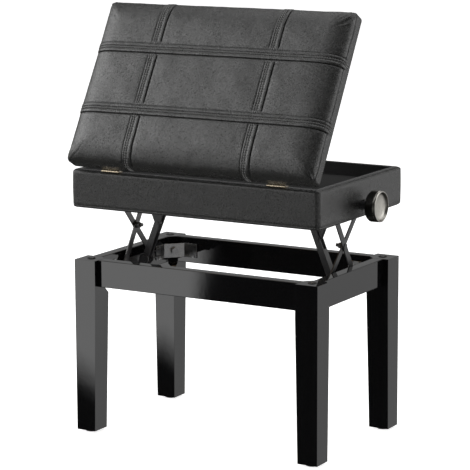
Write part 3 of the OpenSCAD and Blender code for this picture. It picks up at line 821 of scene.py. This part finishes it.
def seat_cushion():
    deepest_on_side = 1.2 * MM
    pad = pad_surface()
    normals = vertex_normals(pad.points, pad.faces)
    push = pad_swell(pad, normals) + pad_relief(pad)
    for ring in pad.rings[1:]:
        push[ring] = np.maximum(push[ring], -deepest_on_side)
    moved = [p + Vector(n) * distance for p, n, distance in zip(pad.points, normals, push)]
    cover = mesh_object("seat_cushion_cover", moved, pad.faces)
    cover.data.transform(LID)
    smooth_leather(cover)
    settle(cover, "lid", "black_leather", "seat_cushion", pad=0.6)
    stitch_rows(pad, moved, normals)


def stitch_rows(pad, points, normals):
    """Lock stitches along the sewn rows of each band, laid on the finished leather."""
    pitch = 5 * MM
    proud_v, proud_h = 1.4 * MM, 0.8 * MM
    slant_v = math.radians(24)
    beside_row = 0.3
    lowest_stitch = 5
    wall = [ring for (z, _), ring in zip(WALL, pad.rings[1:]) if z > lowest_stitch]
    us, vs, grid = pad.us, pad.vs, pad.grid
    ring_of = {ij: k for k, ij in enumerate(pad.loop)}

    def nearest(lines, value):
        return min(range(len(lines)), key=lambda k: abs(lines[k] - value))

    def down_both_sides(first, last, over_top):
        return ([ring[ring_of[first]] for ring in reversed(wall)] + over_top
                + [ring[ring_of[last]] for ring in wall])

    crossing = [j for j, v in enumerate(vs) if any(abs(v - y) < BAND_HALF for y in BANDS_Y)]
    paths = []
    for b in BANDS_X:
        for row in ROWS_V:
            i = nearest(us, b + (row + beside_row) * MM)
            column = [None if j in crossing else grid[i, j] for j in range(len(vs))]
            path = down_both_sides((i, 0), (i, len(vs) - 1), column)
            paths.append((path, proud_v, slant_v))
    for b in BANDS_Y:
        for row in ROWS_H:
            j = nearest(vs, b - (row + beside_row) * MM)
            line = [grid[i, j] for i in range(len(us))]
            paths.append((down_both_sides((0, j), (len(us) - 1, j), line), proud_h, 0))
    bm = bmesh.new()
    for path, proud, slant in paths:
        left = pitch / 2
        for a, b in zip(path, path[1:]):
            if a is None or b is None:
                left = pitch / 2
                continue
            start, end = points[a], points[b]
            span = (end - start).length
            done = left
            while done < span:
                centre = start.lerp(end, done / span)
                lift = Vector(normals[a]).lerp(Vector(normals[b]), done / span).normalized()
                along = Matrix.Rotation(slant, 3, lift) @ (end - start).normalized()
                stitch(bm, centre + lift * proud, along, lift)
                done += pitch
            left = done - span
    obj = link_mesh("cushion_stitching", bm, [thread_material], smooth_under=180)
    obj.data.transform(LID)
    settle(obj, "lid", "black_leather")


def stitch(bm, centre, along, lift):
    """One thread: a little six-sided bead, thinner and lower at its ends."""
    length, thick, sides = 4.4 * MM, 0.7 * MM, 6
    across = along.cross(lift)
    rings = []
    # place along the thread and share of its thickness
    for at, size in ((-0.5, 0.35), (-0.36, 0.85), (0, 1), (0.36, 0.85), (0.5, 0.35)):
        middle = centre + along * at * length - lift * thick * (abs(at) * 1.6) ** 2
        ring = []
        for k in range(sides):
            angle = TAU * k / sides
            way = across * math.cos(angle) + lift * math.sin(angle)
            ring.append(bm.verts.new(middle + way * thick * size))
        rings.append(ring)
    for a, b in zip(rings, rings[1:]):
        for k in range(sides):
            bm.faces.new((a[k], a[(k + 1) % sides], b[(k + 1) % sides], b[k]))
    bm.faces.new(list(reversed(rings[0])))
    bm.faces.new(rings[-1])


seat_cushion()


# ---------------------------------------------------------------- leather-covered box

# Section of the leather in millimetres, as (outwards, up): in over the rim and down the outside,
# with a piped edge below the rim, from the top of the box
BOX_RIM = (
    (-13.2, -9.0), (-13.9, -8.6), (-14.0, -5), (-13.9, -2.6), (-13.3, -1.0), (-12.0, -0.3),
    (-9.5, -0.05), (-6.5, 0), (-4.2, -0.1), (-2.4, -0.6), (-1.1, -1.6), (-0.5, -2.8),
    (-0.55, -3.4), (-1.0, -3.9), (-0.35, -4.5), (0, -5.6), (0.1, -9), (0.3, -18), (0.45, -30),
    (0.45, -42), (0.3, -54),
)
# and a seam above the bottom edge, and in under it, from the bottom of the box
BOX_HEM = (
    (0.1, 10), (0, 6.4), (-0.7, 5.6), (-0.1, 4.8), (-0.1, 3.0), (-0.7, 1.2), (-2.0, 0.3), (-4, 0),
    (-8, 0), (-11, 0.1), (-11, 0.7),
)
# how far the padding under the leather stands out at the ends, the front and the back
BOX_OUT_X, BOX_OUT_FRONT, BOX_OUT_BACK = 2.2 * MM, 5.2 * MM, 10 * MM


def box_leather():
    """Leather glued round the box: in over the rim, down the outside and under the bottom edge."""
    low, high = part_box("box_cover")
    half_x, half_y, middle_y = high.x, (high.y - low.y) / 2, (high.y + low.y) / 2
    radius, corner_steps, step = 8 * MM, 6, 9 * MM
    wave_height, wave_scale = 0.25 * MM, 35

    def padding(z):
        """Share of the padding at a height. There is none at the rim or the bottom edge."""
        below_rim = (high.z - 0.5 * MM - z) / (4 * MM)
        above_edge = (z - low.z) / (2.5 * MM)
        return min(1, max(0, below_rim)) * min(1, max(0, above_edge))

    section = [(out, high.z + up * MM) for out, up in BOX_RIM]
    section += [(out, low.z + up * MM) for out, up in BOX_HEM]
    corner = [k * radius / corner_steps for k in range(corner_steps + 1)]
    us = filled([-half_x + c for c in corner] + [half_x - c for c in corner], step)
    vs = filled([-half_y + c for c in corner] + [half_y - c for c in corner], step)
    points, rings = [], []
    for outset, z in section:
        ring = []
        for i, j in border(us, vs):
            x, y, out = outline(us[i], vs[j], half_x, half_y, radius)
            p = Vector((x, y, z)) + out * outset * MM
            # the inner corners are square: points that overshoot go back to the inner faces
            inner = max(0, -outset) * MM
            p.x = max(-(half_x - inner), min(half_x - inner, p.x))
            p.y = max(-(half_y - inner), min(half_y - inner, p.y))
            p.x += out.x * BOX_OUT_X * padding(z)
            p.y += out.y * (BOX_OUT_BACK if out.y > 0 else BOX_OUT_FRONT) * padding(z)
            if -0.5 < outset <= 0.5:
                p += out * wave_height * noise.noise(p * wave_scale)
            p.y += middle_y
            ring.append(len(points))
            points.append(p)
        rings.append(ring)
    obj = mesh_object("box_leather", points, skirt(rings))
    cut_spindle_holes(obj)
    smooth_leather(obj)
    settle(obj, "seat_box", "black_leather", "box_cover")


def cut_spindle_holes(obj):
    """Cuts the two round holes that the spindle comes out of."""
    radius, length = 9 * MM, 1
    low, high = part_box("spindle")
    place = Matrix.Translation((low + high) / 2) @ Matrix.Rotation(math.pi / 2, 4, "Y")
    bm = bmesh.new()
    bmesh.ops.create_cone(
        bm, cap_ends=True, segments=40, radius1=radius, radius2=radius, depth=length, matrix=place
    )
    cutter = link_mesh("cutter", bm, [MATERIALS["black_leather"]])
    cut = obj.modifiers.new("holes", "BOOLEAN")
    cut.operation, cut.object, cut.solver = "DIFFERENCE", cutter, "EXACT"
    holed = evaluated(obj)
    obj.modifiers.clear()
    obj.data = holed
    bpy.data.objects.remove(cutter)


box_leather()


# ---------------------------------------------------------------- floor, camera and light

# the middle of the feet along Y
FEET_Y = (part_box("leg_front_left")[0].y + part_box("leg_back_left")[1].y) / 2


def pale_floor():
    bm = bmesh.new()
    bmesh.ops.create_grid(bm, x_segments=1, y_segments=1, size=30)
    f = Finish(
        "pale_floor", (0.86, 0.86, 0.86), 0.7, Emission_Color=(1, 1, 1, 1), Emission_Strength=0.85
    )
    floor = link_mesh("floor", bm, [f.material])
    floor.visible_glossy = False


def camera():
    """A long lens that looks past a point above the middle of the feet, shifted aside and up."""
    azimuth, elevation, roll = (math.radians(a) for a in (30.25913, 10.58331, -0.241416))
    away, aside, above, aim_height = 4.425404, -0.004687, 0.145109, 0.2545
    back = Vector((
        math.sin(azimuth) * math.cos(elevation), -math.cos(azimuth) * math.cos(elevation),
        math.sin(elevation),
    ))
    level = Vector((math.cos(azimuth), math.sin(azimuth), 0))
    upright = back.cross(level)
    right = math.cos(roll) * level + math.sin(roll) * upright
    up = math.cos(roll) * upright - math.sin(roll) * level
    data = bpy.data.cameras.new("camera")
    data.sensor_width, data.lens = 36, 167.89669
    data.clip_start, data.clip_end = 0.1, 100
    place = Matrix((right, up, back)).transposed().to_4x4()
    place.translation = Vector((0, FEET_Y, aim_height)) + back * away + right * aside + up * above
    made = placed("camera", data)
    made.matrix_world = place
    scene.camera = made


def area_light(name, at, aim_height, width, height, power):
    """A soft panel at a point from the middle of the feet, aimed at a height above it."""
    data = bpy.data.lights.new(name, "AREA")
    data.shape, data.size, data.size_y, data.energy = "RECTANGLE", width, height, power
    obj = placed(name, data)
    obj.location = Vector(at) + Vector((0, FEET_Y, 0))
    aim = Vector((0, 0, aim_height)) - Vector(at)
    obj.rotation_euler = aim.to_track_quat("-Z", "Y").to_euler()
    obj.visible_camera = False


def studio():
    """A dark room with soft panels, each a smooth patch of directions, for the gloss to mirror."""
    world = bpy.data.worlds.new("studio")
    world.use_nodes = True
    tree = world.node_tree
    tree.nodes.clear()
    way = add(tree, "ShaderNodeTexCoord").outputs["Generated"]
    x, y, z = add(tree, "ShaderNodeSeparateXYZ", Vector=way).outputs

    def edge(value, dark, bright):
        """Rises smoothly from 0 to 1 as a value goes from dark to bright."""
        made = add(tree, "ShaderNodeMapRange", {"interpolation_type": "SMOOTHSTEP"}, Value=value,
                   From_Min=dark, From_Max=bright)
        return made.outputs["Result"]

    def spot(direction, dark, bright):
        """A round patch. dark and bright are cosines of the angle from its middle."""
        made = add(tree, "ShaderNodeVectorMath", {"operation": "DOT_PRODUCT"})
        put(tree, made.inputs[0], way)
        put(tree, made.inputs[1], Vector(direction).normalized())
        return edge(made.outputs["Value"], dark, bright)

    def patch(strength, *edges):
        value = strength
        for e in edges:
            value = maths(tree, "MULTIPLY", value, e)
        return value

    backdrop_foot = maths(tree, "MULTIPLY_ADD", x, 0.45, z)
    card_foot = maths(tree, "MULTIPLY_ADD", x, 0.68, z)
    patches = (
        # dim backdrop behind the bench
        patch(0.3, edge(y, 0.45, 0.75), edge(z, 0.55, 0.3), edge(backdrop_foot, -0.33, -0.1)),
        # left, a little above
        patch(1.0, spot((-0.93, -0.12, 0.34), 0.75, 0.93)),
        # right
        patch(0.9, spot((0.85, 0.5, 0.05), 0.80, 0.95)),
        # behind on the right, low
        patch(0.33, spot((0.56, 0.82, -0.15), 0.88, 0.97)),
        # high at the front left
        patch(1.2, spot((-0.62, -0.52, 0.58), 0.82, 0.97)),
        # low at the front right
        patch(1.0, spot((0.857, -0.509, -0.18), 0.93, 0.985)),
        # bright card at the front left, with sharp edges at its right and its foot
        patch(2.7, edge(x, -0.503, -0.511), edge(x, -0.95, -0.75), edge(card_foot, -0.626, -0.606),
              edge(z, 0.25, 0.05), edge(y, -0.3, -0.5)),
    )
    total = 0.02
    for value in patches:
        total = maths(tree, "ADD", total, value)
    background = add(tree, "ShaderNodeBackground", Color=(1, 1, 1, 1), Strength=total)
    add(tree, "ShaderNodeOutputWorld", Surface=background.outputs[0])
    return world


pale_floor()
camera()
area_light("top_light", (0.3, 0.6, 3.0), 0.3, 3.5, 2.5, 55)
area_light("left_light", (-2.6, -0.9, 1.7), 0.5, 1.4, 1.8, 30)
area_light("right_light", (2.6, 1.4, 1.5), 0.4, 1.6, 2.0, 18)
area_light("front_light", (-0.6, -3.2, 2.4), 0.5, 1.6, 1.0, 12)
scene.world = studio()
scene.view_settings.view_transform = "Standard"

bpy.context.view_layer.update()
